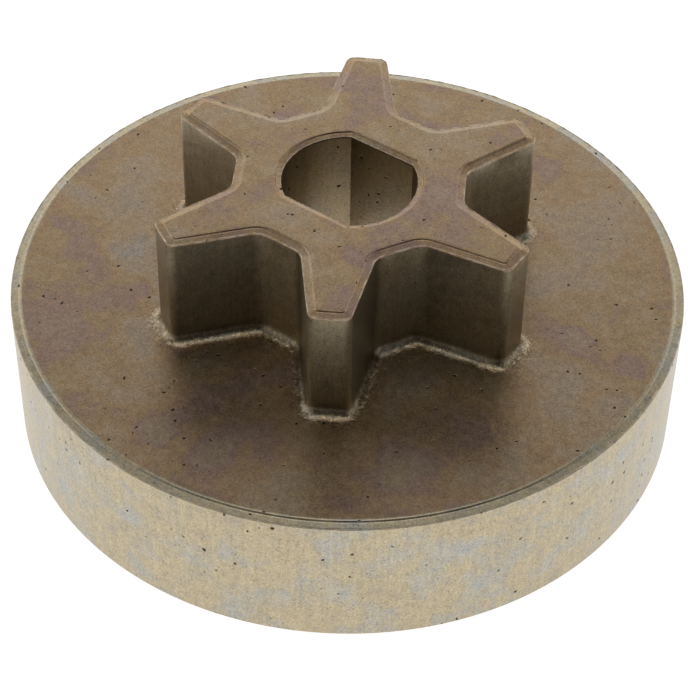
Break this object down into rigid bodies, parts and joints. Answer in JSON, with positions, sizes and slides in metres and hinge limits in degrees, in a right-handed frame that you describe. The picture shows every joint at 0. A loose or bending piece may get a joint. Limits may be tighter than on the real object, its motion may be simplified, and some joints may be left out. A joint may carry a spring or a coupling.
{
  "type": "drive sprocket",
  "caption": "Sintered steel drive sprocket of an electric chainsaw: a brake drum open below, with a toothed chain star on its closed end and a flatted through bore.",
  "frame": {"origin": "centre of the drum's open end, on the shaft's axis", "axes": "+Z along the shaft's axis from the drum's open end to the top of the chain star; +X through the middle of one tooth and of the opposite one; +Y across the two flats of the bore"},
  "size_m": [0.051, 0.051, 0.0214],
  "materials": {
    "sintered_steel": "semi-gloss bare sintered steel with heat tints and open pores"
  },
  "bodies": {
    "root": {"drive_sprocket": "sintered_steel"}
  },
  "joints": []
}
